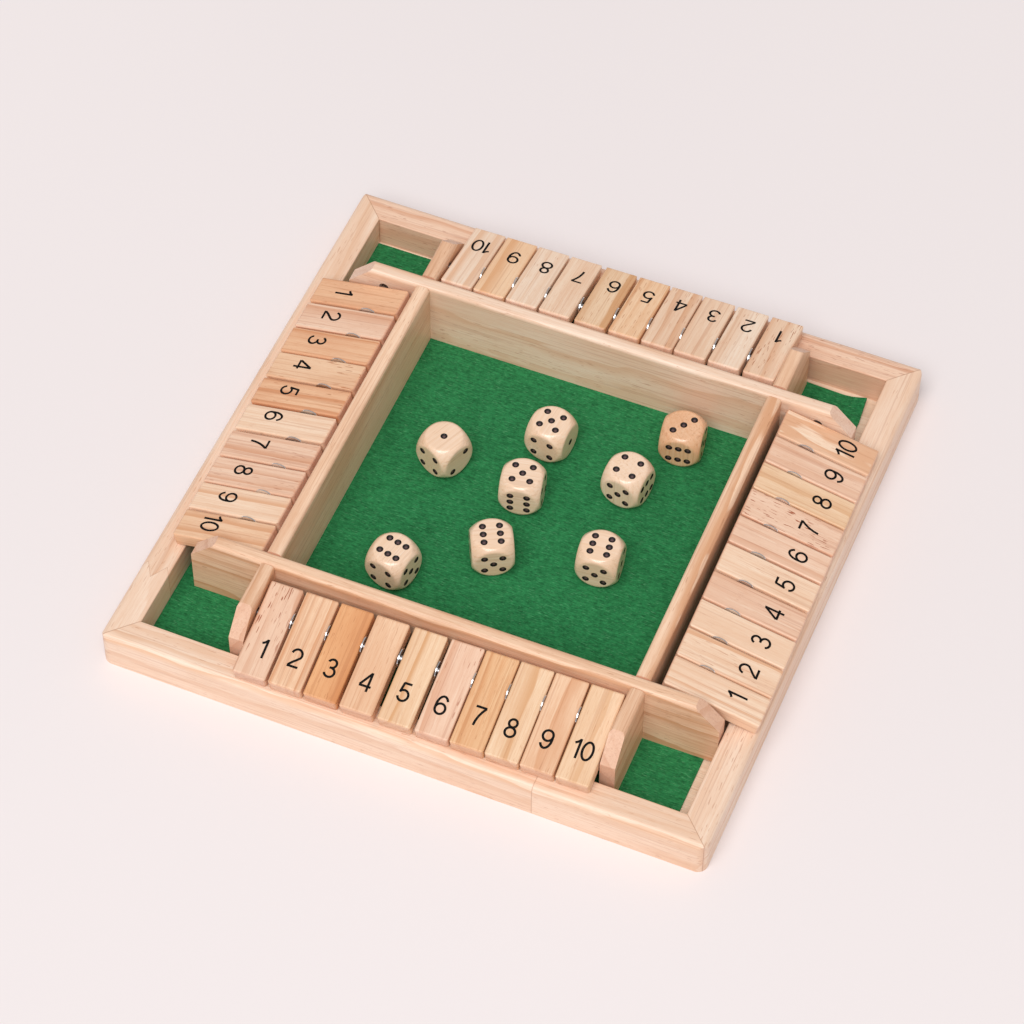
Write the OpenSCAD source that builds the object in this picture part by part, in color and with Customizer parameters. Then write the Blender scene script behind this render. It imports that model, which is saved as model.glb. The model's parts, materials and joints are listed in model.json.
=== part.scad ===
// Four-sided shut the box board: a square wooden board with a felt-lined dice tray,
// a row of ten hinged number tiles along each side, and eight wooden dice.
// Millimetres. The origin is the centre of the underside, +X runs along the front
// row, +Y goes to the back row and +Z is up.

/* [Frame] */
// Side of the square outer frame
board_side = 244; // [225:1:300]
// Width of a frame rail, seen from above
rail_w = 12; // [10:0.2:13]
// Height of the frame rails above the table
rail_h = 16.7; // [15:0.1:18]
// Radius of the rounded outer top edge of the rails
rail_edge_r = 2.6; // [1:0.1:3.2]
// Radius of the eased inner top edge of the rails
rail_inner_r = 0.6; // [0.2:0.1:1]
// Radius of the four upright corners of the frame
corner_r = 4; // [2:0.5:6]
// Thickness of the base panel, which lies between the rails
panel_t = 2.4; // [2:0.1:4]
// Thickness of the felt glued over the panel
felt_t = 0.8; // [0.5:0.1:1.2]
// Bare strip of panel beside the felt along the right rail
felt_short_x = 5.5; // [0.5:0.5:9]
// Bare strip of panel beside the felt along the back rail
felt_short_y = 1.2; // [0.5:0.1:3]

/* [Walls] */
// Thickness of the walls and dividers
wall_t = 6; // [5:0.2:7]
// Height of the walls and dividers above the felt
wall_h = 30.4; // [28:0.1:32]
// Radius of the rounded top edges of the walls
wall_edge_r = 1.8; // [0.8:0.1:2.4]
// Width of the bay between a tray wall and the frame
bay_w = 32.7; // [31:0.1:36]
// How far the tray sits to the right of the frame's centre
tray_shift = 2.2; // [-2.4:0.1:2.4]
// How far the tray sits behind the frame's centre
tray_back = -0.6; // [-2:0.1:2]
// Turn of the tray against the frame, in degrees, as it was glued down
tray_turn = 0.5; // [0:0.05:0.6]
// Mean gap between the ends of the long walls and the frame
wall_end_gap = 3.3; // [3.2:0.1:4]
// Gap between the outer ends of the dividers and the frame
divider_gap = 3.2; // [1:0.1:5]
// Leg of the 45 degree cut on the upper corners of the wall ends
end_cut = 10; // [6:0.5:11]

/* [Rods and washers] */
// Diameter of the hinge rods
rod_d = 3; // [2.4:0.1:3.6]
// Distance from a tray wall's outer face to the rod's centre line
rod_gap = 15; // [14:0.1:16.5]
// Depth of the rods' centre lines below the tops of the walls
rod_drop = 8.3; // [7.4:0.1:9.2]
// Depth of the blind holes that hold the rods' ends
rod_seat = 4; // [2.5:0.1:5]
// Radial clearance of a rod's end in its blind hole
seat_play = 0.15; // [0.05:0.05:0.3]
// Extra width of the rods' blind holes, all of it above the rods
seat_slack = 0.9; // [0:0.1:1.2]
// Outside diameter of the washers between the tiles
washer_d = 8.4; // [7.6:0.1:9.4]
// Thickness of the washers
washer_t = 0.4; // [0.3:0.05:0.8]
// Radial clearance of a washer on its rod
washer_bore_play = 0.2; // [0.1:0.05:0.4]

/* [Tiles] */
// Thickness of a number tile
tile_t = 6.1; // [5.6:0.1:7.2]
// Radial running clearance of a tile on its rod
bore_play = 0.08; // [0.02:0.01:0.1]
// Smallest gap between a tile's turning tail and the tray wall
swing_gap = 1.8; // [1.6:0.1:3]
// How far a lowered tile reaches over the frame rail
rest_reach = 7.6; // [5:0.1:8.5]
// Gap left at the two stops of a tile's swing
stop_gap = 0.1; // [0.05:0.01:0.3]
// Play between a washer and the tiles on either side of it
washer_play = 0.05; // [0.02:0.01:0.1]
// Length along each rod that tiles and washers don't fill
row_spare = 6.1; // [5.9:0.1:12]
// Edge radius of a tile, seen from its side
tile_side_r = 1; // [0.4:0.1:1.6]
// Corner radius of a tile, seen from above
tile_plan_r = 1.2; // [0.4:0.1:2]
// Edge radius of a tile, seen from its end
tile_end_r = 0.7; // [0.3:0.1:1.4]
// Share of its swing that every tile is turned over by
tiles_over = 0; // [0:0.05:1]

/* [Dice] */
// Side of a die across its flats
die_side = 16.8; // [14:0.2:18]
// Diameter of the ball that rounds a die, as a multiple of its side
die_round = 1.315; // [1.28:0.005:1.45]
// Diameter of a pip
pip_d = 2.8; // [1.8:0.1:3]
// Depth of a pip
pip_depth = 0.45; // [0.2:0.05:0.8]
// Distance of the outer pips from the middle of a face
pip_step = 3.5; // [2.8:0.05:3.8]

/* [Hidden] */
$fn = 96;
past = 1;

felt_top = panel_t + felt_t;
wall_top = felt_top + wall_h;
inner_side = board_side - 2 * rail_w;
tray_side = inner_side - 2 * (bay_w + wall_t);
bay_from = tray_side / 2 + wall_t;
long_wall_l = inner_side - 2 * wall_end_gap;
divider_l = bay_w - divider_gap;

// A rod's centre line, measured from the middle of the tray.
rod_x = bay_from + rod_gap;
rod_z = wall_top - rod_drop;
rod_l = tray_side + 2 * (rod_seat - 0.5);

// A tile turns about its rod. Its tail clears the wall, and its head lies on the rail.
half_t = tile_t / 2;
tile_w = (tray_side - 9 * (washer_t + 2 * washer_play) - row_spare) / 10;
tail_l = sqrt(pow(rod_gap - swing_gap, 2) - half_t * half_t);
rest_x = bay_w + rest_reach - rod_gap - tile_side_r;
rest_z = rod_z - rail_h - stop_gap - tile_side_r;
round_t = half_t - tile_side_r;
head_l = tile_side_r + sqrt(rest_x * rest_x + rest_z * rest_z - round_t * round_t);
rest_tilt = atan2(rest_z, rest_x) - atan2(round_t, head_l - tile_side_r);

// The rows in the order front, right, back, left, each numbered from its player's left.
ROWS = ["front", "right", "back", "left"];
row_turn = [-90, 0, 90, 180];
// The rods were drilled for by hand: how far each lies outside its place, and its turn.
row_shift = [-0.1, 0.5, 0, -0.8];
row_skew = [0.9, 0.3, 0.55, -0.15];
row_start = [0.7, 2.45, 0.58, 1.98];
// Extra gap between neighbouring tiles, which lie loose on their rods.
row_slack = [
    [0.6, 0.5, 0.75, 1.45, 1.1, 0.1, 0.05, 0, 0.2],
    [0.07, 0.31, 0.29, 0.56, 0.4, 0.2, 0.07, 0.15, 0.48],
    [0.87, 0.55, 0.08, 0.19, 0.63, 1.47, 0.43, 0.22, 0.21],
    [0.52, 0.27, 0.2, 0.53, 0.65, 0.73, 0.25, 0, 0.37],
];
tile_pitch = tile_w + washer_t + 2 * washer_play;
function total(list, count) = count == 0 ? 0 : list[count - 1] + total(list, count - 1);
// Place of the middle of tile i (0 to 9) along its rod.
function tile_at(row, i) = -tray_side / 2 + row_start[row] + tile_w / 2
    + i * tile_pitch + total(row_slack[row], i);
// Place of the middle of the washer after tile i.
function washer_at(row, i) = (tile_at(row, i) + tile_at(row, i + 1)) / 2;

// Turned over, a tile's face lies on the rounded top edge of the tray wall, which it
// meets at the end of the tile where the rod is nearest to the wall.
function near_gap(row, i) = rod_gap + row_shift[row] - sin(row_skew[row]) * tile_at(row, i)
    - abs(sin(row_skew[row])) * tile_w / 2;
function lean_angle(across, up) = atan2(up, across)
    + asin((half_t + wall_edge_r + stop_gap) / norm([across, up]));
function swing(row, i) = 180 + rest_tilt
    - lean_angle(near_gap(row, i) + wall_edge_r, rod_drop - wall_edge_r);

// Each die: place across the tray as a share of half its side, the turns that bring
// a face up and another to the front, and the turn on the felt.
dice = [
    [[-0.581, 0.198], [180, 0, 90], -22.5],
    [[-0.08, 0.527], [-90, 0, 90], -5],
    [[0.6, 0.782], [0, -90, 90], 7.5],
    [[-0.086, 0.129], [-90, 0, 180], 11],
    [[0.427, 0.395], [0, 90, 0], -7.3],
    [[-0.53, -0.609], [0, 0, 90], -12],
    [[-0.08, -0.316], [0, 0, 0], 27.9],
    [[0.488, -0.159], [0, 0, 0], 5.8],
];
// Pips of a die on a grid of steps, with opposite faces adding up to seven.
pips = [
    [[180, 0, 0], [[0, 0]]],
    [[-90, 0, 0], [[-1, -1], [1, 1]]],
    [[0, 90, 0], [[-1, 1], [0, 0], [1, -1]]],
    [[0, -90, 0], [[-1, -1], [-1, 1], [1, -1], [1, 1]]],
    [[90, 0, 0], [[-1, -1], [-1, 1], [0, 0], [1, -1], [1, 1]]],
    [[0, 0, 0], [for (x = [-0.94, 0.94], y = [-1.08, 0, 1.08]) [x, y]]],
];

pine = "BurlyWood";
pale = "Wheat";

// Rectangle with its lower left corner at the origin and rounded upper corners.
module topped_section(w, h, left_r, right_r) {
    difference() {
        square([w, h]);
        difference() {
            translate([-past, h - left_r]) square([left_r + past, left_r + past]);
            translate([left_r, h - left_r]) circle(left_r);
        }
        difference() {
            translate([w - right_r, h - right_r]) square([right_r + past, right_r + past]);
            translate([w - right_r, h - right_r]) circle(right_r);
        }
    }
}

// Centred rectangle with four rounded corners.
module rounded_section(w, h, r) {
    square([w - 2 * r, h], center = true);
    square([w, h - 2 * r], center = true);
    for (x = [-1, 1], y = [-1, 1])
        translate([x * (w / 2 - r), y * (h / 2 - r)]) circle(r);
}

module in_tray() {
    translate([tray_shift, tray_back, 0]) rotate([0, 0, tray_turn]) children();
}

// About the middle of a row's rod, which lies along Y with +X to the outside.
module on_rod(row) {
    in_tray() rotate([0, 0, row_turn[row]])
        translate([rod_x + row_shift[row], 0, rod_z]) rotate([0, 0, row_skew[row]]) children();
}

// The two blind holes of a row's rod and the space between them.
module rod_bore(row) {
    on_rod(row) translate([0, 0, seat_slack / 2]) rotate([90, 0, 0])
        cylinder(h = tray_side + 2 * rod_seat, d = rod_d + 2 * seat_play + seat_slack, center = true);
}

module base_panel() {
    color(pale)
        translate([-inner_side / 2, -inner_side / 2, 0]) cube([inner_side, inner_side, panel_t]);
}

module felt_lining() {
    color("SeaGreen")
        translate([-inner_side / 2, -inner_side / 2, panel_t])
            cube([inner_side - felt_short_x, inner_side - felt_short_y, felt_t]);
}

// One rail of the frame, mitred at both ends, lying along the side it is turned to.
module frame_rail(turn) {
    half = board_side / 2;
    color(pine)
        rotate([0, 0, turn]) intersection() {
            translate([half - rail_w, 0, 0]) rotate([90, 0, 0])
                linear_extrude(board_side, center = true)
                    topped_section(rail_w, rail_h, rail_inner_r, rail_edge_r);
            linear_extrude(rail_h) rounded_section(board_side, board_side, corner_r);
            linear_extrude(rail_h) polygon([[0, 0], [half, -half], [half, half]]);
        }
}

// A board standing on the felt along X with a rounded top, from x = 0 to length.
module standing_board(length) {
    translate([0, 0, felt_top]) rotate([90, 0, 90])
        linear_extrude(length)
            translate([-wall_t / 2, 0]) topped_section(wall_t, wall_h, wall_edge_r, wall_edge_r);
}

// The 45 degree cut on the upper corner of a board that ends at x = 0.
module end_corner() {
    side = 2 * end_cut;
    translate([0, 0, wall_top - end_cut]) rotate([0, -45, 0])
        translate([0, -wall_t, 0]) cube([side, 2 * wall_t, side]);
}

// side is -1 for the front wall and 1 for the back wall.
module long_wall(side) {
    color(pale)
        difference() {
            in_tray() translate([0, side * (tray_side / 2 + wall_t / 2), 0]) difference() {
                translate([-long_wall_l / 2, 0, 0]) standing_board(long_wall_l);
                for (end = [0, 180]) rotate([0, 0, end])
                    translate([long_wall_l / 2, 0, 0]) end_corner();
            }
            for (row = [1, 3]) rod_bore(row);
        }
}

module side_walls() {
    color(pale)
        for (side = [-1, 1])
            in_tray() translate([side * (tray_side / 2 + wall_t / 2), -tray_side / 2, 0])
                rotate([0, 0, 90]) standing_board(tray_side);
}

module row_dividers() {
    color(pine)
        difference() {
            for (side = [-1, 1], end = [-1, 1])
                in_tray() translate([side * (tray_side / 2 + wall_t / 2), end * bay_from, 0])
                    rotate([0, 0, end * 90]) difference() {
                        standing_board(divider_l);
                        translate([divider_l, 0, 0]) end_corner();
                    }
            for (row = [0, 2]) rod_bore(row);
        }
}

module hinge_rods() {
    color("Silver")
        for (row = [0:3]) on_rod(row) rotate([90, 0, 0])
            cylinder(h = rod_l, d = rod_d, center = true);
}

module washer() {
    rotate([90, 0, 0]) difference() {
        cylinder(h = washer_t, d = washer_d, center = true);
        cylinder(h = washer_t + past, d = rod_d + 2 * washer_bore_play, center = true);
    }
}

module rod_washers() {
    color("Gainsboro")
        for (row = [0:3], i = [0:8]) on_rod(row)
            translate([0, washer_at(row, i), 0]) washer();
}

// A tile about its rod: the head points along +X and the rod lies along Y.
module tile_body() {
    length = tail_l + head_l;
    difference() {
        translate([(head_l - tail_l) / 2, 0, 0]) intersection() {
            rotate([90, 0, 0]) linear_extrude(tile_w, center = true)
                rounded_section(length, tile_t, tile_side_r);
            linear_extrude(tile_t, center = true)
                rounded_section(length, tile_w, tile_plan_r);
            rotate([90, 0, 90]) linear_extrude(length, center = true)
                rounded_section(tile_w, tile_t, tile_end_r);
        }
        rotate([90, 0, 0])
            cylinder(h = tile_w + 2 * past, d = rod_d + 2 * bore_play, center = true);
    }
}

module tile(row, i) {
    color(pine)
        on_rod(row) translate([0, tile_at(row, i), 0])
            rotate([0, rest_tilt - tiles_over * swing(row, i), 0]) tile_body();
}

// A die about its middle, with six up, five in front and three on the right.
module die_body() {
    dip_r = (pip_d * pip_d / 4 + pip_depth * pip_depth) / (2 * pip_depth);
    difference() {
        intersection() {
            cube(die_side, center = true);
            sphere(d = die_side * die_round);
        }
        for (face = pips) rotate(face[0])
            for (spot = face[1])
                translate([spot[0] * pip_step, spot[1] * pip_step,
                           die_side / 2 + dip_r - pip_depth])
                    sphere(dip_r);
    }
}

module die(i) {
    place = dice[i][0] * tray_side / 2;
    color(pale)
        translate([tray_shift + place[0], tray_back + place[1], felt_top + die_side / 2])
            rotate([0, 0, dice[i][2]]) rotate(dice[i][1]) die_body();
}

base_panel();
felt_lining();
frame_rail(0);  // frame_rail_right
frame_rail(90);  // frame_rail_back
frame_rail(180);  // frame_rail_left
frame_rail(270);  // frame_rail_front
long_wall(-1);  // long_wall_front
long_wall(1);  // long_wall_back
side_walls();
row_dividers();
hinge_rods();
rod_washers();
for (row = [0:3], i = [0:9])
    tile(row, i);
for (i = [0:len(dice) - 1])
    die(i);
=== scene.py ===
import bpy, json, math, random
from mathutils import Euler, Matrix, Vector


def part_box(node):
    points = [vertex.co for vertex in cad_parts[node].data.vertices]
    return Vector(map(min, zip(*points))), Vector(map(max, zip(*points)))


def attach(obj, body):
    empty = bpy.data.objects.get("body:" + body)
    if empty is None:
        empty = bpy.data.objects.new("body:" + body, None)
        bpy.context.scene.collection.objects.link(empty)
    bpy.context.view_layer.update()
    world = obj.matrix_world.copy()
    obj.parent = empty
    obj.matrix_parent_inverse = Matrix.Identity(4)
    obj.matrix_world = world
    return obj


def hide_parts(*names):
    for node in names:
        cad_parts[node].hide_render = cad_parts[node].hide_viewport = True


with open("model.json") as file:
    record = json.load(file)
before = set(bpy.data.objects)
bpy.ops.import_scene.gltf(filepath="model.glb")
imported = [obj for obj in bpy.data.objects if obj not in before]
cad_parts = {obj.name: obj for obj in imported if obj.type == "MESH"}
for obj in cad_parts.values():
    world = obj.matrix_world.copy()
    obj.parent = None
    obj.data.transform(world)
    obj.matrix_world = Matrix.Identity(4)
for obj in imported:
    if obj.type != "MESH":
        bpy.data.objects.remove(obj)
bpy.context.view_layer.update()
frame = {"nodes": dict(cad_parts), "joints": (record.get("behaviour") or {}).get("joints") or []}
cadNodes = frame["nodes"]
hinges = {j["child"]: j for j in frame["joints"]}
mm = 0.001
print("frame loaded with", len(cadNodes), "nodes")


# small helpers for objects

def deselectAll():
    if bpy.context.object and bpy.context.object.mode != "OBJECT":
        bpy.ops.object.mode_set(mode="OBJECT")
    bpy.ops.object.select_all(action="DESELECT")


def pick(*pieces):
    deselectAll()
    for piece in pieces:
        piece.select_set(True)
    bpy.context.view_layer.objects.active = pieces[-1]


def applyModifiers(piece):
    pick(piece)
    for modifier in list(piece.modifiers):
        bpy.ops.object.modifier_apply(modifier=modifier.name)


def bakePlace(piece):
    pick(piece)
    bpy.ops.object.transform_apply(location=True, rotation=True, scale=True)


def copyPiece(piece, name):
    twin = piece.copy()
    twin.data = piece.data.copy()
    twin.name = twin.data.name = name
    bpy.context.scene.collection.objects.link(twin)
    return twin


# small helpers for materials

def addNode(tree, kind, inputs=None, **settings):
    made = tree.nodes.new(kind)
    for key, value in settings.items():
        setattr(made, key, value)
    for key, value in (inputs or {}).items():
        if isinstance(value, bpy.types.NodeSocket):
            tree.links.new(value, made.inputs[key])
        else:
            made.inputs[key].default_value = value
    return made


def calc(tree, operation, a, b=0.0, clamp=False):
    return addNode(tree, "ShaderNodeMath", {0: a, 1: b}, operation=operation, use_clamp=clamp).outputs[0]


def fit(tree, value, low, high, toLow=0.0, toHigh=1.0):
    return addNode(tree, "ShaderNodeMapRange", {0: value, 1: low, 2: high, 3: toLow, 4: toHigh},
                   interpolation_type="SMOOTHSTEP").outputs[0]


def mixColour(tree, amount, a, b, blend="MIX"):
    return addNode(tree, "ShaderNodeMix", {0: amount, 6: a, 7: b}, data_type="RGBA",
                   blend_type=blend).outputs[2]


def stretch(tree, place, x, y, z):
    return addNode(tree, "ShaderNodeVectorMath", {0: place, 1: (x, y, z)}, operation="MULTIPLY").outputs[0]


def noiseAt(tree, place, scale=1.0, detail=2.0, rough=0.5):
    return addNode(tree, "ShaderNodeTexNoise", {"Vector": place, "Scale": scale, "Detail": detail,
                                                "Roughness": rough}).outputs[0]


def newGroup(name, inputs, outputs):
    tree = bpy.data.node_groups.new(name, "ShaderNodeTree")
    for label, kind, value in inputs:
        socket = tree.interface.new_socket(name=label, in_out="INPUT", socket_type="NodeSocket" + kind)
        if value is not None:
            socket.default_value = value
    for label, kind in outputs:
        tree.interface.new_socket(name=label, in_out="OUTPUT", socket_type="NodeSocket" + kind)
    return tree, tree.nodes.new("NodeGroupInput").outputs, tree.nodes.new("NodeGroupOutput").inputs


def colour(red, green, blue):
    # a colour given on a 0 to 255 scale, as the shader needs it
    def straight(c):
        c = c / 255
        return c / 12.92 if c <= 0.04045 else ((c + 0.055) / 1.055) ** 2.4
    return (straight(red), straight(green), straight(blue), 1.0)


# effects that several materials share

pine = {
    # how often each pattern repeats in a mm, along the grain and in both ways across it
    "bend": (0.011, 0.045, 0.045), "ripple": (0.05, 0.3, 0.3), "strand": (0.035, 1.3, 1.3),
    "hair": (0.014, 1.0, 1.0), "fine": (0.2, 3.4, 3.4), "tone": (0.02, 0.09, 0.09),
    "dash": (0.25, 2.2, 2.2), "patch": (0.025, 0.09, 0.09), "pore": (1.1, 2.2, 4.5),
    # how much the broad tones, the hairs, the pale strands and the fine strokes show
    "toneDepth": 0.35, "hairDepth": 0.25, "paleDepth": 0.25, "fineDepth": 0.42,
}


def makePineGroup():
    # growth rings round a pith that runs along X, with fibres, short resin flecks and broad tones
    tree, given, out = newGroup("pineFigure", [
        ("Place", "Vector", None), ("Pale", "Color", (1, 1, 1, 1)), ("Late", "Color", (1, 1, 1, 1)),
        ("Fleck", "Color", (1, 1, 1, 1)), ("Ring gap", "Float", 3.0), ("Wander", "Float", 3.0),
        ("Ring depth", "Float", 0.6), ("Fibre depth", "Float", 0.3), ("Fleck amount", "Float", 0.5),
        ("Seed", "Float", 0.0), ("End", "Float", 0.0), ("End tone", "Color", (1, 1, 1, 1))],
        [("Colour", "Color"), ("Roughness", "Float"), ("Height", "Float")])
    place = stretch(tree, given["Place"], 1000, 1000, 1000)
    along = calc(tree, "MULTIPLY", given["Seed"], 37.0)
    seeded = addNode(tree, "ShaderNodeCombineXYZ", {0: along}).outputs[0]
    place = addNode(tree, "ShaderNodeVectorMath", {0: place, 1: seeded}, operation="ADD").outputs[0]

    def pattern(kind, detail, rough=0.5):
        return noiseAt(tree, stretch(tree, place, *pine[kind]), 1.0, detail, rough)

    # the distance from the pith, bent and rippled, counted in rings
    bend = pattern("bend", 2.0)
    ripple = pattern("ripple", 1.0)
    apart = addNode(tree, "ShaderNodeSeparateXYZ", {0: place}).outputs
    reach = calc(tree, "SQRT", calc(tree, "ADD", calc(tree, "MULTIPLY", apart[1], apart[1]),
                                    calc(tree, "MULTIPLY", apart[2], apart[2])))
    shift = calc(tree, "MULTIPLY", calc(tree, "SUBTRACT", bend, 0.5), 4.0)
    shift = calc(tree, "ADD", shift, calc(tree, "SUBTRACT", ripple, 0.5))
    shift = calc(tree, "MULTIPLY", shift, given["Wander"])
    turns = calc(tree, "DIVIDE", calc(tree, "ADD", reach, shift), given["Ring gap"])
    # each ring darkens slowly and ends sharply, some rings more than others
    part = calc(tree, "FRACT", turns)
    rise = fit(tree, part, 0.42, 0.93)
    fall = fit(tree, part, 0.94, 1.0, 1.0, 0.0)
    which = calc(tree, "ADD", calc(tree, "FLOOR", turns), given["Seed"])
    strength = addNode(tree, "ShaderNodeTexWhiteNoise", {"W": which}, noise_dimensions="1D").outputs[0]
    late = calc(tree, "MULTIPLY", calc(tree, "MULTIPLY", rise, fall), fit(tree, strength, 0, 1, 0.2, 1.0))
    late = calc(tree, "MULTIPLY", late, given["Ring depth"], clamp=True)
    # fibres of three lengths, and broad tones
    strand = pattern("strand", 3.0, 0.65)
    hair = pattern("hair", 1.0)
    fine = pattern("fine", 2.0, 0.65)
    tone = pattern("tone", 1.0)
    # flecks come in patches
    least = calc(tree, "SUBTRACT", 0.765, calc(tree, "MULTIPLY", given["Fleck amount"], 0.08))
    dash = fit(tree, pattern("dash", 0.0), least, calc(tree, "ADD", least, 0.06))
    patch = fit(tree, pattern("patch", 0.0), 0.40, 0.58)
    dash = calc(tree, "MULTIPLY", calc(tree, "MULTIPLY", dash, patch), given["Fleck amount"], clamp=True)
    pore = fit(tree, pattern("pore", 1.0), 0.5, 0.72)
    paint = mixColour(tree, late, given["Pale"], given["Late"])
    warm = calc(tree, "MULTIPLY", fit(tree, tone, 0.35, 0.7), pine["toneDepth"])
    paint = mixColour(tree, warm, paint, given["Late"])
    depth = calc(tree, "MULTIPLY", given["Fibre depth"], fit(tree, strand, 0.45, 0.62))
    paint = mixColour(tree, depth, paint, given["Late"])
    streak = calc(tree, "MULTIPLY", fit(tree, hair, 0.6, 0.65), pine["hairDepth"])
    paint = mixColour(tree, streak, paint, given["Fleck"])
    light = fit(tree, strand, 0.42, 0.3, 0.0, pine["paleDepth"])
    paint = mixColour(tree, light, paint, (1, 1, 1, 1), "SOFT_LIGHT")
    paint = mixColour(tree, fit(tree, fine, 0.52, 0.7, 0.0, pine["fineDepth"]), paint, given["Late"])
    paint = mixColour(tree, dash, paint, given["Fleck"])
    # cut ends soak up more and show their pores
    soak = calc(tree, "ADD", calc(tree, "MULTIPLY", pore, 0.4), 0.5)
    paint = mixColour(tree, calc(tree, "MULTIPLY", soak, given["End"]), paint, given["End tone"])
    tree.links.new(paint, out["Colour"])
    dull = calc(tree, "ADD", fit(tree, strand, 0.3, 0.7, 0.36, 0.52), calc(tree, "MULTIPLY", late, 0.1))
    tree.links.new(dull, out["Roughness"])
    bumps = calc(tree, "SUBTRACT", calc(tree, "MULTIPLY", fine, 0.6), calc(tree, "MULTIPLY", dash, 1.2))
    bumps = calc(tree, "ADD", bumps, calc(tree, "MULTIPLY", late, 0.5))
    tree.links.new(bumps, out["Height"])
    return tree


def makePaintedEdgeShadeGroup():
    # painted shade along the long edges and ends of a block centred on Place, stronger the nearer a point is
    # to them
    tree, given, out = newGroup("paintedEdgeShade", [
        ("Place", "Vector", None), ("Half size", "Vector", None), ("Width", "Float", 1.0)],
        [("Painted shade", "Float")])
    spot = addNode(tree, "ShaderNodeVectorMath", {0: given["Place"]}, operation="ABSOLUTE").outputs[0]
    room = addNode(tree, "ShaderNodeVectorMath", {0: given["Half size"], 1: spot},
                   operation="SUBTRACT").outputs[0]
    near = addNode(tree, "ShaderNodeSeparateXYZ", {0: stretch(tree, room, 1000, 1000, 1000)}).outputs
    ends = [fit(tree, near[i], 0.0, given["Width"], 1.0, 0.0) for i in range(3)]
    pairs = [calc(tree, "MULTIPLY", ends[0], ends[1]), calc(tree, "MULTIPLY", ends[1], ends[2]),
             calc(tree, "MULTIPLY", ends[0], ends[2])]
    edge = calc(tree, "MAXIMUM", calc(tree, "MAXIMUM", pairs[0], pairs[1]), pairs[2])
    speck = noiseAt(tree, stretch(tree, given["Place"], 1000, 1000, 1000), 0.9, 3.0, 0.6)
    tree.links.new(calc(tree, "MULTIPLY", edge, fit(tree, speck, 0.3, 0.7, 0.35, 1.0)), out["Painted shade"])
    return tree


napLook = {
    # the turn of the strands and of the lint, and how often they repeat in a mm
    "lieTurn": (0, 0, 0.12), "lie": (0.28, 2.2, 1.0), "crossTurn": (0, 0, -0.35), "cross": (0.4, 3.2, 1.0),
    "cloud": 0.09, "mat": 0.8,
    # how much of the shade the mat, the strands and the cloud make, and how much the lint shows
    "matShare": 0.38, "strandShare": 0.5, "cloudShare": 0.12, "lintShare": 0.35,
}


def makeNapGroup():
    # pressed wool fibres: a matted cloud, short strands lying mostly one way and stray pale lint
    tree, given, out = newGroup("feltNap", [
        ("Place", "Vector", None), ("Deep", "Color", (1, 1, 1, 1)), ("Bright", "Color", (1, 1, 1, 1)),
        ("Lint", "Color", (1, 1, 1, 1))], [("Colour", "Color"), ("Height", "Float")])
    place = stretch(tree, given["Place"], 1000, 1000, 1000)
    cloud = noiseAt(tree, place, napLook["cloud"], 3.0, 0.6)
    mat = noiseAt(tree, place, napLook["mat"], 4.0, 0.65)
    lie = addNode(tree, "ShaderNodeMapping",
                  {0: place, 2: napLook["lieTurn"], 3: napLook["lie"]}).outputs[0]
    strand = noiseAt(tree, lie, 1.0, 3.0, 0.65)
    cross = addNode(tree, "ShaderNodeMapping",
                    {0: place, 2: napLook["crossTurn"], 3: napLook["cross"]}).outputs[0]
    stray = fit(tree, noiseAt(tree, cross, 1.0, 2.0, 0.5), 0.60, 0.72)
    amount = calc(tree, "ADD", calc(tree, "MULTIPLY", fit(tree, mat, 0.3, 0.7), napLook["matShare"]),
                  calc(tree, "MULTIPLY", fit(tree, strand, 0.3, 0.7), napLook["strandShare"]))
    clouded = calc(tree, "MULTIPLY", fit(tree, cloud, 0.3, 0.7), napLook["cloudShare"])
    amount = calc(tree, "ADD", amount, clouded, clamp=True)
    paint = mixColour(tree, amount, given["Deep"], given["Bright"])
    paint = mixColour(tree, calc(tree, "MULTIPLY", stray, napLook["lintShare"]), paint, given["Lint"])
    tree.links.new(paint, out["Colour"])
    tree.links.new(calc(tree, "ADD", calc(tree, "MULTIPLY", mat, 0.7), calc(tree, "MULTIPLY", strand, 0.6)),
                   out["Height"])
    return tree


pineGroup, paintedEdgeShadeGroup, napGroup = makePineGroup(), makePaintedEdgeShadeGroup(), makeNapGroup()


def startMaterial(name):
    material = bpy.data.materials.new(name)
    material.use_nodes = True
    tree = material.node_tree
    return material, tree, tree.nodes["Principled BSDF"]


def addBump(tree, shader, height, relief):
    strength, distance = relief
    bump = addNode(tree, "ShaderNodeBump", {"Height": height, "Strength": strength, "Distance": distance})
    tree.links.new(bump.outputs[0], shader.inputs["Normal"])


def useGroup(tree, group, inputs):
    return addNode(tree, "ShaderNodeGroup", inputs, node_tree=group).outputs


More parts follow.
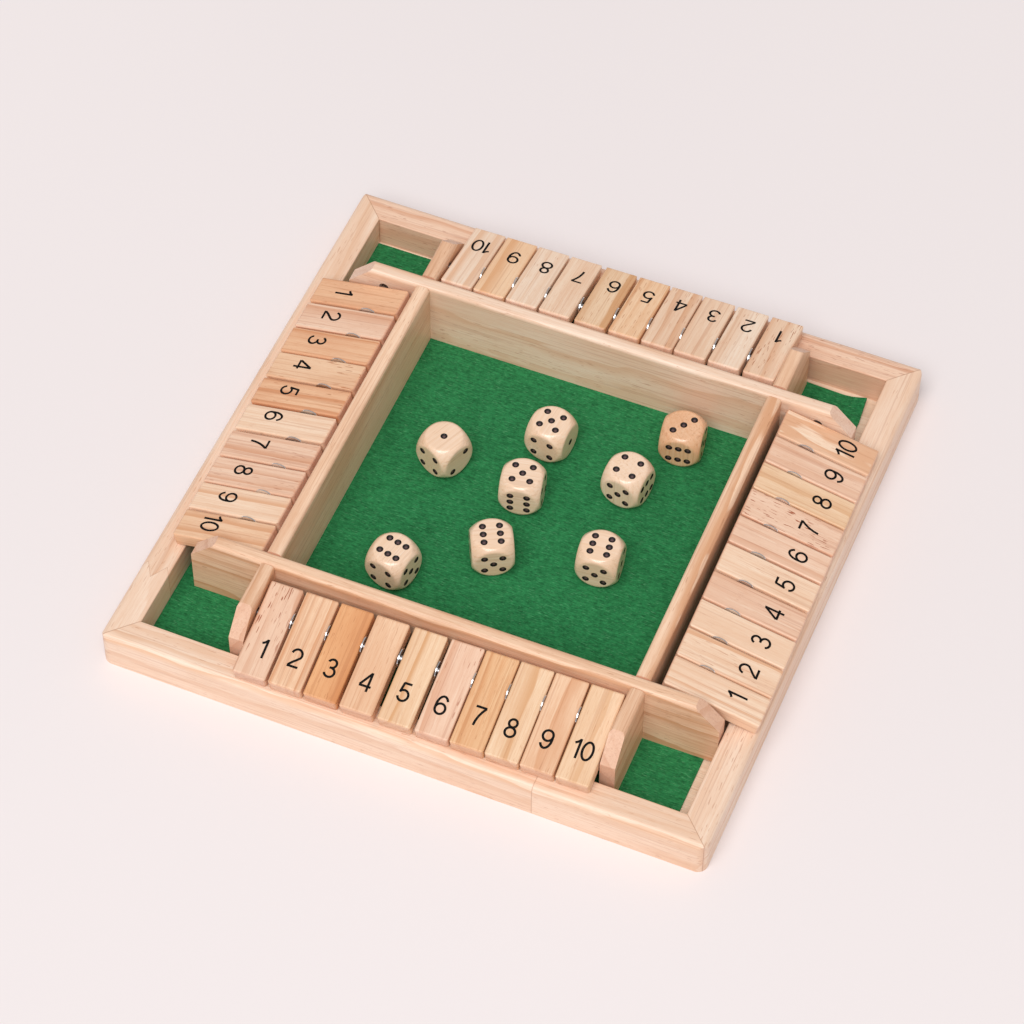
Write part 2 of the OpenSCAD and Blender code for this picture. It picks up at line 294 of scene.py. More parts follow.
# Tones of the timber, each with its early wood, late wood and fleck.
timbers = {
    "ivory":  {"pale": (254, 230, 207), "late": (238, 194, 160), "fleck": (204, 146, 110)},
    "cream":  {"pale": (251, 220, 192), "late": (230, 178, 140), "fleck": (194, 130, 94)},
    "sand":   {"pale": (253, 214, 176), "late": (232, 174, 126), "fleck": (194, 128, 84)},
    "blond":  {"pale": (246, 211, 176), "late": (220, 166, 118), "fleck": (190, 124, 78)},
    "pink":   {"pale": (246, 209, 182), "late": (222, 166, 132), "fleck": (178, 106, 76)},
    "peach":  {"pale": (245, 205, 170), "late": (218, 156, 112), "fleck": (182, 114, 74)},
    "honey":  {"pale": (246, 203, 158), "late": (210, 138, 80), "fleck": (180, 112, 64)},
    "orange": {"pale": (241, 183, 131), "late": (212, 137, 82), "fleck": (172, 98, 50)},
    "amber":  {"pale": (242, 193, 154), "late": (216, 148, 104), "fleck": (178, 108, 66)},
    "rose":   {"pale": (239, 201, 173), "late": (214, 158, 124), "fleck": (172, 102, 72)},
    "rail":   {"pale": (251, 223, 200), "late": (231, 184, 149), "fleck": (194, 132, 94)},
    "wall":   {"pale": (248, 209, 177), "late": (214, 156, 114), "fleck": (180, 118, 78)},
    "side":   {"pale": (252, 215, 184), "late": (220, 162, 120), "fleck": (184, 122, 84)},
    "ply":    {"pale": (244, 220, 196), "late": (226, 192, 162), "fleck": (190, 146, 108)},
}


woodFinish = {
    # the end grain tone, the glue line, the width and depth of the painted shade along the edges, the relief
    # and the coat
    "endGrain": (222, 176, 154), "glueLine": (170, 112, 74), "edgeWidth": 1.4, "edgeShadeDepth": 0.3,
    "relief": (0.35, 0.06 * mm), "gloss": 0.12, "glossRough": 0.35,
}


def woodMaterial(name, timber, where, cut, ringGap, wander, rings, fibres, flecks,
                 half=None, gloss=woodFinish["gloss"], rough=0.0, mitre=0, splice=None):
    # where puts local X along the grain, and cut is the place in the log, in mm from its pith and end
    material, tree, shader = startMaterial(name)
    tone = timbers[timber]
    given = addNode(tree, "ShaderNodeTexCoord").outputs
    local = addNode(tree, "ShaderNodeMapping",
                    {0: given["Object"], 1: where.to_translation(), 2: where.to_euler()},
                    vector_type="TEXTURE").outputs[0]
    sawn = addNode(tree, "ShaderNodeVectorMath", {0: local, 1: Vector(cut) * mm}, operation="ADD").outputs[0]
    seam = None
    if mitre or splice:
        spot = addNode(tree, "ShaderNodeSeparateXYZ", {0: stretch(tree, local, 1000, 1000, 1000)}).outputs
    if splice:
        # two lengths of timber glued end to end, on fingers where the joint has a slope
        zig = calc(tree, "PINGPONG", spot[1], splice["pitch"] / 2)
        joint = calc(tree, "ADD", calc(tree, "MULTIPLY", zig, splice["slope"]), splice["at"])
        past = calc(tree, "SUBTRACT", spot[0], joint)
        other = fit(tree, past, -0.05, 0.05)
        away = addNode(tree, "ShaderNodeVectorMath", {0: Vector(splice["cut"]) * mm, "Scale": other},
                       operation="SCALE").outputs[0]
        sawn = addNode(tree, "ShaderNodeVectorMath", {0: sawn, 1: away}, operation="ADD").outputs[0]
        seam = fit(tree, calc(tree, "ABSOLUTE", past), 0.05, 0.3, 0.45, 0.0)
    grain = addNode(tree, "ShaderNodeVectorMath", {0: given["Normal"], 1: where.col[0].to_3d()},
                    operation="DOT_PRODUCT").outputs["Value"]
    figure = useGroup(tree, pineGroup, {
        "Place": sawn, "Pale": colour(*tone["pale"]), "Late": colour(*tone["late"]),
        "Fleck": colour(*tone["fleck"]), "Ring gap": ringGap, "Wander": wander, "Ring depth": rings,
        "Fibre depth": fibres, "Fleck amount": flecks, "Seed": float(sum(map(ord, name)) % 97) / 10,
        "End": fit(tree, calc(tree, "ABSOLUTE", grain), 0.5, 0.8),
        "End tone": colour(*woodFinish["endGrain"])})
    paint = figure["Colour"]
    if splice:
        paint = mixColour(tree, calc(tree, "MULTIPLY", other, splice["tint"]), paint, colour(*tone["late"]))
    if mitre:
        # the glued 45 degree joints at both ends
        line = calc(tree, "ADD", calc(tree, "ABSOLUTE", spot[0]), calc(tree, "MULTIPLY", spot[1], mitre))
        line = calc(tree, "ABSOLUTE", calc(tree, "SUBTRACT", line, half[0] - half[1]))
        line = fit(tree, line, 0.06, 0.34, 0.6, 0.0)
        seam = calc(tree, "MAXIMUM", seam, line) if seam else line
    if seam:
        paint = mixColour(tree, seam, paint, colour(*woodFinish["glueLine"]))
    # painted shade: the long edges and ends of the block are darkened towards the late wood
    if half:
        edgeShadeAmount = useGroup(tree, paintedEdgeShadeGroup, {"Place": local, "Half size": Vector(half) * mm,
                                          "Width": woodFinish["edgeWidth"]})["Painted shade"]
        edgeShadeAmount = calc(tree, "MULTIPLY", edgeShadeAmount, woodFinish["edgeShadeDepth"])
        paint = mixColour(tree, edgeShadeAmount, paint, colour(*tone["late"]))
    tree.links.new(paint, shader.inputs["Base Color"])
    tree.links.new(calc(tree, "ADD", figure["Roughness"], rough), shader.inputs["Roughness"])
    addBump(tree, shader, figure["Height"], woodFinish["relief"])
    shader.inputs["Coat Weight"].default_value = gloss
    shader.inputs["Coat Roughness"].default_value = woodFinish["glossRough"]
    return material


def paintNode(name, material):
    cadNodes[name].data.materials.clear()
    cadNodes[name].data.materials.append(material)


def frameOf(along, up, at=(0, 0, 0)):
    # a place whose X lies along the grain and whose Z is up out of the board
    x, z = Vector(along).normalized(), Vector(up).normalized()
    turn = Matrix((x, z.cross(x), z)).transposed().to_4x4()
    return Matrix.Translation(Vector(at)) @ turn


# frame rails, walls and panel: CAD nodes that keep their shape

# the felt's top face, the middle of the tray walls in mm, and the tray's turn in the frame
board = {
    "feltTop": 3.2 * mm, "trayAt": (2.2, -0.6, 18), "trayTurn": math.radians(0.5),
}
railFigure = {"ringGap": 4.2, "wander": 2.2, "rings": 0.8, "fibres": 0.3, "flecks": 0.55,
              "half": (122, 6, 8.35)}
rails = {
    "front": {"timber": "rail", "along": (1, 0, 0), "at": (0, -116, 8.35), "cut": (40, 46, 22), "mitre": 1,
              "splice": {"at": 54, "pitch": 400, "slope": 0, "cut": (170, 21, -14), "tint": 0.12}},
    "right": {"timber": "rail", "along": (0, 1, 0), "at": (116, 0, 8.35), "cut": (260, 30, 40), "mitre": 1,
              "splice": None},
    "back":  {"timber": "pink", "along": (1, 0, 0), "at": (0, 116, 8.35), "cut": (500, 60, 16), "mitre": -1,
              "splice": None},
    "left":  {"timber": "rail", "along": (0, 1, 0), "at": (-116, 0, 8.35), "cut": (820, 22, 52), "mitre": -1,
              "splice": {"at": -90, "pitch": 8, "slope": 1.6, "cut": (-210, 17, 9), "tint": 0.2}},
}
for side, rail in rails.items():
    where = frameOf(rail["along"], (0, 0, 1), Vector(rail["at"]) * mm)
    paintNode("frame_rail_" + side, woodMaterial("railWood_" + side, rail["timber"], where, rail["cut"],
                                                 mitre=rail["mitre"], splice=rail["splice"], **railFigure))

wallFigure = {"ringGap": 5.5, "wander": 2.4, "rings": 0.9, "fibres": 0.28, "flecks": 0.5}
walls = {
    "long_wall_front": {"along": (1, 0, 0), "off": (0, -74.3, 0), "cut": (30, 24, 30), "timber": "wall"},
    "long_wall_back":  {"along": (1, 0, 0), "off": (0, 74.3, 0), "cut": (400, 40, 18), "timber": "rail"},
    "side_walls":      {"along": (0, 1, 0), "off": (0, 0, 0), "cut": (700, 34, 20), "timber": "side"},
    "row_dividers":    {"along": (0, 1, 0), "off": (0, 0, 0), "cut": (900, 28, 33), "timber": "wall"},
}
trayPlace = Matrix.Translation(Vector(board["trayAt"]) * mm) @ Matrix.Rotation(board["trayTurn"], 4, "Z")
for name, wall in walls.items():
    where = trayPlace @ frameOf(wall["along"], (0, 0, 1), Vector(wall["off"]) * mm)
    paintNode(name, woodMaterial("wood_" + name, wall["timber"], where, wall["cut"], **wallFigure))

panel = {
    "timber": "ply", "where": frameOf((1, 0, 0), (0, 0, 1)), "cut": (20, 90, 60),
    "ringGap": 9, "wander": 8, "rings": 0.5, "fibres": 0.5, "flecks": 0.4, "gloss": 0.0, "rough": 0.2,
}
paintNode("base_panel", woodMaterial("panelPly", **panel))
print("rails, walls and panel painted")


# rods and washers

steels = {
    "hinge_rods":  {"shade": (186, 186, 188), "rough": (0.24, 0.34)},
    "rod_washers": {"shade": (238, 238, 240), "rough": (0.1, 0.16)},
}
steelFinish = {"haze": (150, 144, 138), "relief": (0.02, 0.01 * mm)}


def steelMaterial(name, look):
    material, tree, shader = startMaterial(name)
    spot = addNode(tree, "ShaderNodeTexCoord").outputs["Object"]
    place = stretch(tree, spot, 1000, 1000, 1000)
    scuff = noiseAt(tree, place, 0.5, 2.0, 0.5)
    haze = noiseAt(tree, place, 0.12, 2.0)
    dim = fit(tree, haze, 0.4, 0.7, 0.0, 0.25)
    paint = mixColour(tree, dim, colour(*look["shade"]), colour(*steelFinish["haze"]))
    tree.links.new(paint, shader.inputs["Base Color"])
    tree.links.new(fit(tree, scuff, 0.3, 0.7, *look["rough"]), shader.inputs["Roughness"])
    addBump(tree, shader, scuff, steelFinish["relief"])
    shader.inputs["Metallic"].default_value = 1.0
    return material


for name, look in steels.items():
    paintNode(name, steelMaterial("steel_" + name, look))
print("rods and washers painted")


# number tiles

tiles = {
    # the tiles with many flecks, and the CAD tile's tilt, half thickness and reach to both sides of its rod
    "flecked": ["tile_front_1", "tile_front_6", "tile_back_1", "tile_left_4", "tile_right_7"],
    "tilt": math.radians(12.5288), "half": 3.05 * mm, "head": 26.348 * mm, "tail": 12.843 * mm,
    "blockHalf": (19.6, 6.6, 3.05), "gloss": 0.15,
    # the ranges from which each tile's own figure is dealt
    "fromPith": (12, 60), "upTheLog": (0, 900), "ringGap": (3.0, 7.0), "wander": (0.6, 1.8),
    "rings": (0.85, 1.3), "fibres": (0.16, 0.32), "flecks": (0.1, 0.6), "manyFlecks": 1.0,
    "timbers": {
        "front": ["rose", "peach", "orange", "peach", "blond", "pink", "honey", "blond", "peach", "blond"],
        "right": ["cream", "cream", "cream", "pink", "cream", "pink", "pink", "blond", "pink", "cream"],
        "back":  ["cream", "ivory", "cream", "cream", "sand", "blond", "cream", "ivory", "sand", "ivory"],
        "left":  ["amber", "pink", "amber", "peach", "amber", "cream", "pink", "pink", "cream", "peach"],
    },
}


def tilePlace(name):
    # X points to the tile's outer end, Y to the player's right and Z out of its face
    hinge = hinges[name]
    axis, up = Vector(hinge["axis"]), Vector((0, 0, 1))
    outward = up.cross(axis)
    x = outward * math.cos(tiles["tilt"]) - up * math.sin(tiles["tilt"])
    z = outward * math.sin(tiles["tilt"]) + up * math.cos(tiles["tilt"])
    return Matrix.Translation(Vector(hinge["pos_m"])) @ Matrix((x, z.cross(x), z)).transposed().to_4x4()


dealt = random.Random(7)
for row, tones in tiles["timbers"].items():
    for i, tone in enumerate(tones):
        name = "tile_%s_%d" % (row, i + 1)
        where = tilePlace(name) @ Matrix.Translation(((tiles["head"] - tiles["tail"]) / 2, 0, 0))
        turn = dealt.uniform(0, 2 * math.pi)
        away = dealt.uniform(*tiles["fromPith"])
        cut = (dealt.uniform(*tiles["upTheLog"]), away * math.cos(turn), away * math.sin(turn))
        figure = {part: dealt.uniform(*tiles[part]) for part in ("ringGap", "wander", "rings", "fibres")}
        many = name in tiles["flecked"]
        figure["flecks"] = tiles["manyFlecks"] if many else dealt.uniform(*tiles["flecks"])
        paintNode(name, woodMaterial("tileWood_%s_%d" % (row, i + 1), tone, where, cut,
                                     half=tiles["blockHalf"], gloss=tiles["gloss"], **figure))
print("tiles painted")


# printed numbers

numbers = {
    "height": 8.0 * mm, "line": 0.96 * mm, "thick": 0.03 * mm,
    # in parts of the height: the space before a figure, the space between two and how far the 1 of 10 is
    # drawn in
    "margin": 0.05, "gap": 0.14, "tuck": 0.12, "ink": (14, 12, 12), "thinInk": (52, 38, 32),
    # the middle of each number, in mm from the tile's outer end and to the player's right of its middle
    "fromEnd": {"front": [12.3, 12.6, 13.1, 12.5, 13.1, 12.8, 13.3, 12.8, 13.0, 13.4],
                "right": [12.2, 12.1, 12.3, 12.3, 12.6, 12.6, 12.9, 12.5, 12.3, 12.1],
                "back":  [11.8, 11.0, 11.1, 11.2, 11.6, 11.7, 12.0, 12.5, 12.3, 11.4],
                "left":  [13.2, 13.4, 13.2, 13.4, 13.8, 13.4, 14.0, 13.9, 13.8, 13.3]},
    "aside":   {"front": [0.7, -0.1, -0.4, -0.2, -0.7, -0.7, 0.1, -0.6, -0.5, -0.2],
                "right": [0.7, 0.1, 0.1, 0.3, 0.0, 0.4, 0.5, 0.5, 0.4, 0.6],
                "back":  [-0.7, -0.9, -0.8, -0.4, -0.7, -0.5, -0.8, -0.8, -0.8, -0.2],
                "left":  [-0.8, -1.2, -1.5, -1.6, -2.0, -2.4, -2.2, -1.8, -1.5, -1.7]},
}


def arc(x, y, wide, tall, start, end, steps=14):
    return [(x + wide * math.cos(math.radians(start + (end - start) * k / steps)),
             y + tall * math.sin(math.radians(start + (end - start) * k / steps))) for k in range(steps + 1)]


# Each figure is drawn by its centre lines, 1 high, with half a line's width left at each side.
strokes = {
    "0": [arc(0.31, 0.5, 0.245, 0.445, 90, 450, 32)],
    "1": [[(0.36, 0.0), (0.36, 0.985)], [(0.36, 0.95), (0.30, 0.865), (0.22, 0.79), (0.12, 0.735)]],
    "2": [arc(0.305, 0.68, 0.245, 0.265, 172, -28, 18)
          + [(0.40, 0.43), (0.22, 0.265), (0.10, 0.13), (0.065, 0.06)],
          [(0.03, 0.055), (0.57, 0.055)]],
    "3": [arc(0.29, 0.735, 0.20, 0.21, 165, -92, 18), arc(0.295, 0.29, 0.245, 0.235, 92, -165, 20),
          [(0.22, 0.525), (0.30, 0.525)]],
    "4": [[(0.465, 0.0), (0.465, 0.985)], [(0.455, 0.95), (0.05, 0.285)], [(0.03, 0.265), (0.61, 0.265)]],
    "5": [[(0.155, 0.945), (0.54, 0.945)], [(0.175, 0.965), (0.105, 0.46)],
          [(0.10, 0.475)] + arc(0.30, 0.33, 0.25, 0.275, 140, -165, 24)],
    "6": [arc(0.31, 0.315, 0.245, 0.26, 180, 540, 30),
          arc(0.325, 0.50, 0.26, 0.445, 32, 180, 20) + [(0.065, 0.36)]],
    "7": [[(0.04, 0.945), (0.57, 0.945)],
          [(0.55, 0.945), (0.42, 0.74), (0.31, 0.50), (0.245, 0.25), (0.215, 0.0)]],
    "8": [arc(0.305, 0.745, 0.195, 0.20, 90, 450, 28), arc(0.305, 0.29, 0.245, 0.235, 90, 450, 30)],
}
strokes["9"] = [[(0.61 - x, 1 - y) for x, y in line] for line in strokes["6"]]


def inkMaterial():
    material, tree, shader = startMaterial("numberInk")
    spot = addNode(tree, "ShaderNodeTexCoord").outputs["Object"]
    place = stretch(tree, spot, 1000, 1000, 1000)
    thin = fit(tree, noiseAt(tree, place, 2.4, 4.0, 0.7), 0.55, 0.8)
    paint = mixColour(tree, calc(tree, "MULTIPLY", thin, 0.25), colour(*numbers["ink"]),
                      colour(*numbers["thinInk"]))
    tree.links.new(paint, shader.inputs["Base Color"])
    tree.links.new(fit(tree, thin, 0.0, 1.0, 0.6, 0.8), shader.inputs["Roughness"])
    shader.inputs["Specular IOR Level"].default_value = 0.15
    return material


def drawFigure(figure):
    # round strokes laid flat, as thick as a printed line
    sketch = bpy.data.curves.new("figure_" + figure, "CURVE")
    sketch.dimensions = "3D"
    sketch.bevel_depth = numbers["line"] / 2
    sketch.bevel_resolution = 1
    sketch.use_fill_caps = True
    for line in strokes[figure]:
        closed = (Vector(line[0]) - Vector(line[-1])).length < 1e-6
        dots = line[:-1] if closed else line
        spline = sketch.splines.new("POLY")
        spline.points.add(len(dots) - 1)
        for spot, (x, y) in zip(spline.points, dots):
            spot.co = (x * numbers["height"], y * numbers["height"], 0, 1)
        spline.use_cyclic_u = closed
    piece = bpy.data.objects.new("figure_" + figure, sketch)
    bpy.context.scene.collection.objects.link(piece)
    pick(piece)
    bpy.ops.object.convert(target="MESH")
    piece.scale = (1, 1, 2 * numbers["thick"] / numbers["line"])
    bakePlace(piece)
    return piece


ink = inkMaterial()
figures = {figure: drawFigure(figure) for figure in strokes}
for name in sorted(hinges):
    if not name.startswith("tile_"):
        continue
    row, label = name.split("_")[1:]
    place = int(label) - 1
    wide = [max(x for line in strokes[c] for x, y in line) for c in label]
    tuck = numbers["tuck"] if label == "10" else 0
    left = (tuck - sum(wide) - numbers["gap"] * (len(label) - 1) - numbers["margin"]) / 2
    parts = []
    for k, c in enumerate(label):
        twin = copyPiece(figures[c], "number_part")
        start = left - (tuck if c == "1" else 0)
        # the figure's up is towards the tray
        turn = Matrix(((0, -1, 0, 0), (1, 0, 0, 0), (0, 0, 1, 0), (0, 0, 0, 1)))
        down = tiles["head"] - numbers["fromEnd"][row][place] * mm + numbers["height"] / 2
        across = numbers["aside"][row][place] * mm + start * numbers["height"]
        foot = Matrix.Translation((down, across, tiles["half"]))
        twin.data.transform(tilePlace(name) @ foot @ turn)
        parts.append(twin)
        left = start + wide[k] + numbers["gap"]
    pick(*parts)
    if len(parts) > 1:
        bpy.ops.object.join()
    piece = bpy.context.object
    piece.name = piece.data.name = name.replace("tile", "number")
    piece.data.materials.clear()
    piece.data.materials.append(ink)
    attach(piece, name)
for piece in figures.values():
    bpy.data.objects.remove(piece)
print("numbers printed on the tiles")


# dice

dice = {
    "side": 16.8 * mm, "ball": 22.2 * mm, "soft": 55, "cuts": 47,
    "pip": 2.8 * mm, "dip": 0.45 * mm, "step": 3.5 * mm,
    "figure": {"Ring gap": 2.2, "Wander": 1.2, "Ring depth": 0.35, "Fibre depth": 0.3, "Fleck amount": 0.35},
    "gloss": 0.85, "glossRough": 0.18, "relief": (0.2, 0.04 * mm),
    # the black pip paint, its worn tone, and the painted reflection in the middle of each pip
    "pipPaint": (18, 14, 14), "wornPaint": (44, 34, 32), "paintedGlint": (116, 90, 90),
    "wood": {"pale": (252, 221, 194), "late": (240, 198, 159), "fleck": (204, 154, 112), "seed": 1.0},
    "warmWood": {"pale": (240, 194, 156), "late": (222, 160, 112), "fleck": (180, 116, 74), "seed": 2.0},
    # the turns that bring the faces round, and the turn on the felt
    "lying": [((180, 0, 90), -22.5), ((-90, 0, 90), -5), ((0, -90, 90), 7.5), ((-90, 0, 180), 11),
              ((0, 90, 0), -7.3), ((0, 0, 90), -12), ((0, 0, 0), 27.9), ((0, 0, 0), 5.8)],
}
# each face's turn from the top of the die, and its pips in steps from the middle
pipFaces = [((180, 0, 0), [(0, 0)]), ((-90, 0, 0), [(-1, -1), (1, 1)]),
            ((0, 90, 0), [(-1, 1), (0, 0), (1, -1)]), ((0, -90, 0), [(-1, -1), (-1, 1), (1, -1), (1, 1)]),
            ((90, 0, 0), [(-1, -1), (-1, 1), (0, 0), (1, -1), (1, 1)]),
            ((0, 0, 0), [(x, y) for x in (-0.94, 0.94) for y in (-1.08, 0, 1.08)])]


def turned(degrees):
    return Euler([math.radians(d) for d in degrees], "XYZ").to_matrix().to_4x4()


def dieMaterial(name, look):
    material, tree, shader = startMaterial(name)
    spot = addNode(tree, "ShaderNodeAttribute", attribute_name="billet").outputs["Vector"]
    figure = useGroup(tree, pineGroup, {
        "Place": spot, "Pale": colour(*look["pale"]), "Late": colour(*look["late"]),
        "Fleck": colour(*look["fleck"]), "Seed": look["seed"], **dice["figure"]})
    tree.links.new(figure["Colour"], shader.inputs["Base Color"])
    tree.links.new(calc(tree, "MULTIPLY", figure["Roughness"], 0.75), shader.inputs["Roughness"])
    addBump(tree, shader, figure["Height"], dice["relief"])
    shader.inputs["Coat Weight"].default_value = dice["gloss"]
    shader.inputs["Coat Roughness"].default_value = dice["glossRough"]
    return material


def pipMaterial():
    # black paint, with a painted reflection that is lighter and pinkish grey in the middle of each dimple
    material, tree, shader = startMaterial("pipPaint")
    spot = addNode(tree, "ShaderNodeAttribute", attribute_name="billet").outputs["Vector"]
    place = stretch(tree, spot, 1000, 1000, 1000)
    worn = fit(tree, noiseAt(tree, place, 1.8, 3.0, 0.6), 0.4, 0.75)
    paint = mixColour(tree, worn, colour(*dice["pipPaint"]), colour(*dice["wornPaint"]))
    # painted reflection of the lamp, lightest in the middle of each dimple
    reach = addNode(tree, "ShaderNodeAttribute", attribute_name="pipReach").outputs["Fac"]
    middle = fit(tree, reach, 0.3, 0.95, 1.0, 0.0)
    tree.links.new(mixColour(tree, middle, paint, colour(*dice["paintedGlint"])), shader.inputs["Base Color"])
    tree.links.new(fit(tree, worn, 0.0, 1.0, 0.45, 0.65), shader.inputs["Roughness"])
    shader.inputs["Specular IOR Level"].default_value = 0.3
    return material


def drillOut(piece, drill):
    cut = piece.modifiers.new("cut", "BOOLEAN")
    cut.operation, cut.solver, cut.object = "DIFFERENCE", "EXACT", drill
    cut.material_mode = "TRANSFER"
    applyModifiers(piece)
    bpy.data.objects.remove(drill)


def makeDie(wood, paint):
    deselectAll()
    bpy.ops.mesh.primitive_cube_add(size=dice["side"])
    piece = bpy.context.object
    piece.data.materials.append(wood)
    bpy.ops.object.mode_set(mode="EDIT")
    bpy.ops.mesh.subdivide(number_cuts=dice["cuts"])
    bpy.ops.object.mode_set(mode="OBJECT")
    # the cube's faces and the ball that rounds its corners meet in a soft edge
    soft = dice["soft"]
    for vertex in piece.data.vertices:
        way = vertex.co.normalized()
        pull = sum((2 * abs(c) / dice["side"]) ** soft for c in way) + (2 / dice["ball"]) ** soft
        vertex.co = way * pull ** (-1 / soft)
    ballEnd = (dice["pip"] ** 2 / 4 + dice["dip"] ** 2) / (2 * dice["dip"])
    drills = []
    for turns, spots in pipFaces:
        for x, y in spots:
            bpy.ops.mesh.primitive_uv_sphere_add(segments=40, ring_count=40, radius=ballEnd)
            drill = bpy.context.object
            drill.data.materials.append(paint)
            drill.data.transform(turned(turns) @ Matrix.Translation(
                (x * dice["step"], y * dice["step"], dice["side"] / 2 + ballEnd - dice["dip"])))
            drills.append(drill)
    pick(*drills)
    bpy.ops.object.join()
    drillOut(piece, bpy.context.object)
    pick(piece)
    bpy.ops.object.shade_smooth_by_angle(angle=math.radians(28))
    dots = [turned(turns) @ Vector((x * dice["step"], y * dice["step"], dice["side"] / 2))
            for turns, spots in pipFaces for x, y in spots]
    reach = piece.data.attributes.new("pipReach", "FLOAT", "POINT")
    for vertex, value in zip(piece.data.vertices, reach.data):
        value.value = min((vertex.co - dot).length for dot in dots) / mm
    return piece


paleWood, warmWood = dieMaterial("dieWood", dice["wood"]), dieMaterial("dieWoodWarm", dice["warmWood"])
master = makeDie(paleWood, pipMaterial())
for k, (turns, yaw) in enumerate(dice["lying"]):
    name = "die_%d" % (k + 1)
    piece = copyPiece(master, "turned_" + name)
    grain = piece.data.attributes.new("billet", "FLOAT_VECTOR", "POINT")
    # each die is sawn from its own place in the billet
    offset = Vector((11 * k, 14 + 3 * (k % 3), 9 + 4 * (k % 4))) * mm
    for vertex, value in zip(piece.data.vertices, grain.data):
        value.vector = vertex.co + offset
    low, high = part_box(name)
    centre = (low + high) / 2
    piece.data.transform(Matrix.Translation((centre.x, centre.y, board["feltTop"] + dice["side"] / 2))
                         @ turned((0, 0, yaw)) @ turned(turns))
    # the third die is of a warmer wood
    for place, material in enumerate(piece.data.materials):
        if k == 2 and material == paleWood:
            piece.data.materials[place] = warmWood
    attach(piece, name)
    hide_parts(name)
bpy.data.objects.remove(master)
print("dice turned and laid out")


# felt

felt = {
    "low": (-109.9 * mm, -109.9 * mm), "high": (104.5 * mm, 108.8 * mm), "under": 2.4 * mm, "thick": 0.8 * mm,
    "cell": 1.6 * mm, "deep": (10, 80, 40), "bright": (50, 145, 86), "lint": (120, 190, 140),
    "relief": (0.6, 0.15 * mm),
    # where the back edge starts to fall short and over what way, and by how much
    "skimpFrom": (55 * mm, 76 * mm), "skimpOver": (50 * mm, 33 * mm), "skimp": 1.8 * mm,
    "curl": 2.6 * mm, "curlReach": 11 * mm, "curlPull": 0.8 * mm,
    # the wavy right edge near the loose corner
    "rippleFrom": 82 * mm, "rippleOver": 10 * mm, "rippleWide": 6 * mm, "rippleStep": 1.9 * mm,
    "ripple": 0.25 * mm,
}


def feltMaterial():
    material, tree, shader = startMaterial("greenFelt")
    spot = addNode(tree, "ShaderNodeTexCoord").outputs["Object"]
    nap = useGroup(tree, napGroup, {"Place": spot, "Deep": colour(*felt["deep"]),
                                    "Bright": colour(*felt["bright"]), "Lint": colour(*felt["lint"])})
    tree.links.new(nap["Colour"], shader.inputs["Base Color"])
    addBump(tree, shader, nap["Height"], felt["relief"])
    shader.inputs["Roughness"].default_value = 0.95
    shader.inputs["Specular IOR Level"].default_value = 0.2
    shader.inputs["Sheen Weight"].default_value = 0.12
    shader.inputs["Sheen Roughness"].default_value = 0.5
    return material


def makeFelt():
    wide, long = felt["high"][0] - felt["low"][0], felt["high"][1] - felt["low"][1]
    deselectAll()
    bpy.ops.mesh.primitive_grid_add(x_subdivisions=round(wide / felt["cell"]),
                                    y_subdivisions=round(long / felt["cell"]), size=1)
    piece = bpy.context.object
    piece.name = piece.data.name = "felt_sheet"
    piece.scale = (wide, long, 1)
    piece.location = ((felt["high"][0] + felt["low"][0]) / 2, (felt["high"][1] + felt["low"][1]) / 2,
                      felt["under"] + felt["thick"])
    bakePlace(piece)
    # the back edge is cut a little short towards the right, where the corner has come loose and curls up
    for vertex in piece.data.vertices:
        x, y = vertex.co.x, vertex.co.y
        short = (max(0, (x - felt["skimpFrom"][0]) / felt["skimpOver"][0])
                 * max(0, (y - felt["skimpFrom"][1]) / felt["skimpOver"][1]))
        loose = max(0, 1 - math.hypot(felt["high"][0] - x, felt["high"][1] - y) / felt["curlReach"])
        edge = (max(0, 1 - (felt["high"][0] - x) / felt["rippleWide"])
                * max(0, min(1, (y - felt["rippleFrom"]) / felt["rippleOver"])))
        wave = edge * (1 + math.sin(y / felt["rippleStep"]))
        vertex.co.y -= felt["skimp"] * min(short, 1)
        vertex.co.x -= felt["curlPull"] * loose
        vertex.co.z += felt["curl"] * loose ** 1.6 + felt["ripple"] * wave
    shell = piece.modifiers.new("thickness", "SOLIDIFY")
    shell.thickness, shell.offset = felt["thick"], -1
    applyModifiers(piece)
    piece.data.materials.append(feltMaterial())
    return piece


feltPiece = makeFelt()
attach(feltPiece, "board")
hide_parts("felt_lining")
print("felt laid")


# floor, light and camera

studio = {
    "floor": (243, 235, 235), "air": (250, 247, 246), "airStrength": 0.45,
    # one large soft light in front of the board and high above it
    "away": 7.0, "height": math.radians(58.5), "aside": math.radians(5), "wide": 5.4, "tall": 6.0,
    "power": 378,
}


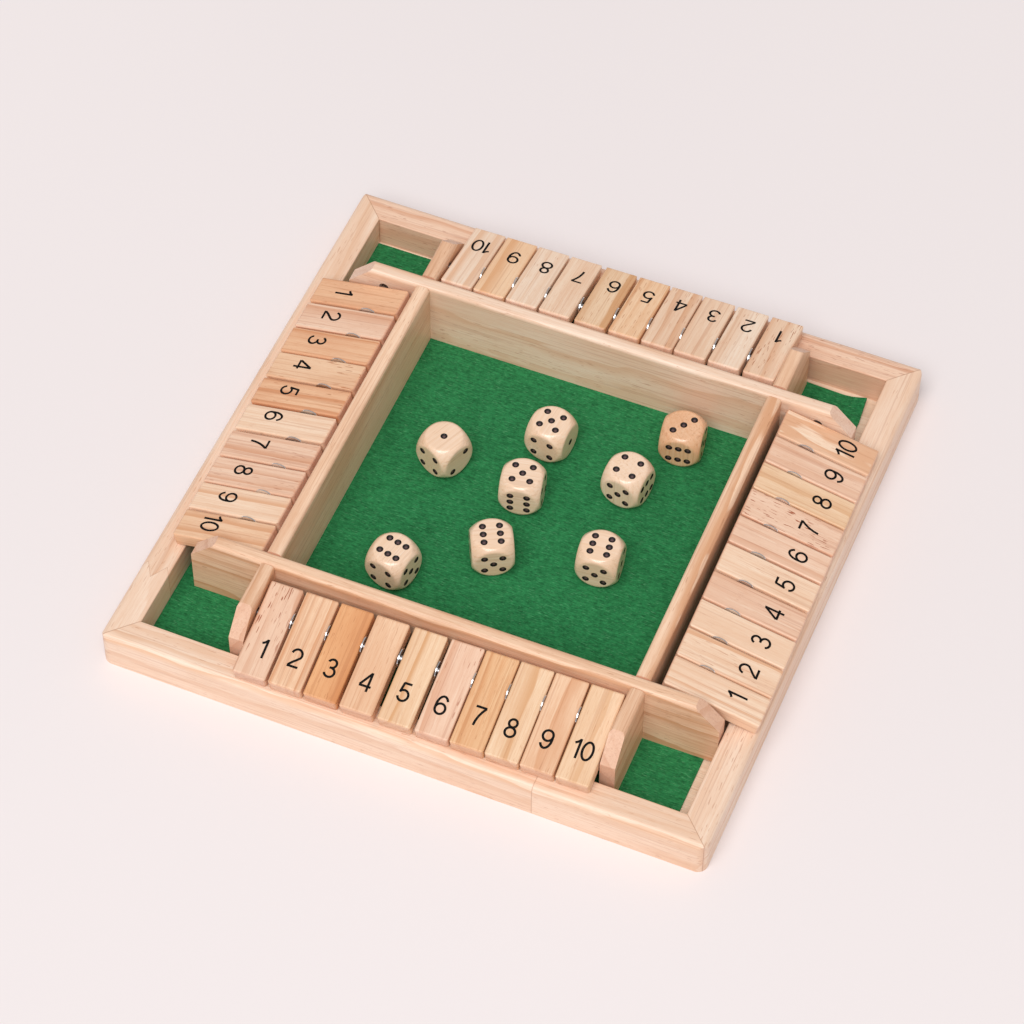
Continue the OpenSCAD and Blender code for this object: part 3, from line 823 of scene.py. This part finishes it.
def makeFloor():
    deselectAll()
    bpy.ops.mesh.primitive_plane_add(size=8)
    floor = bpy.context.object
    floor.name = "studioFloor"
    material, tree, shader = startMaterial("paper")
    spot = addNode(tree, "ShaderNodeTexCoord").outputs["Object"]
    drift = fit(tree, noiseAt(tree, spot, 1.5, 2.0), 0.3, 0.7, 0.97, 1.0)
    paint = mixColour(tree, 1.0, colour(*studio["floor"]), drift, "MULTIPLY")
    tree.links.new(paint, shader.inputs["Base Color"])
    shader.inputs["Roughness"].default_value = 0.9
    shader.inputs["Specular IOR Level"].default_value = 0.1
    floor.data.materials.append(material)


def makeLamp():
    lamp = bpy.data.lights.new("softLight", "AREA")
    lamp.shape, lamp.energy = "ELLIPSE", studio["power"]
    lamp.size, lamp.size_y = studio["wide"], studio["tall"]
    level = math.cos(studio["height"])
    at = studio["away"] * Vector((math.sin(studio["aside"]) * level, -math.cos(studio["aside"]) * level,
                                  math.sin(studio["height"])))
    holder = bpy.data.objects.new("softLight", lamp)
    bpy.context.scene.collection.objects.link(holder)
    holder.location = at
    holder.rotation_euler = at.to_track_quat("Z", "Y").to_euler()


def makeWorld():
    world = bpy.data.worlds.new("studioAir")
    bpy.context.scene.world = world
    world.use_nodes = True
    tree = world.node_tree
    sky = tree.nodes["Background"]
    sky.inputs[0].default_value = colour(*studio["air"])
    sky.inputs[1].default_value = studio["airStrength"]


view = {
    "azimuth": math.radians(22.37), "height": math.radians(52.77), "roll": math.radians(0.43),
    "aim": Vector((-5.294, 1.346, 3.2)) * mm, "distance": 1402.6 * mm, "sensor": 36,
    # the lens, in widths of the square picture
    "lens": 3597.35 / 1024, "clip": (0.05, 30),
}


def makeCamera():
    azimuth, height, roll = view["azimuth"], view["height"], view["roll"]
    right = Vector((math.cos(azimuth), math.sin(azimuth), 0))
    level = math.cos(height)
    back = Vector((math.sin(azimuth) * level, -math.cos(azimuth) * level, math.sin(height)))
    turnedRight = right * math.cos(roll) + back.cross(right) * math.sin(roll)
    turnedUp = back.cross(turnedRight)
    lens = bpy.data.cameras.new("viewCamera")
    lens.lens, lens.sensor_width = view["lens"] * view["sensor"], view["sensor"]
    lens.clip_start, lens.clip_end = view["clip"]
    holder = bpy.data.objects.new("viewCamera", lens)
    bpy.context.scene.collection.objects.link(holder)
    place = Matrix((turnedRight, turnedUp, back)).transposed().to_4x4()
    holder.matrix_world = Matrix.Translation(view["aim"] + back * view["distance"]) @ place
    bpy.context.scene.camera = holder


makeFloor()
makeWorld()
makeLamp()
makeCamera()
bpy.context.scene.view_settings.view_transform = "Standard"
print("floor, light and camera set")
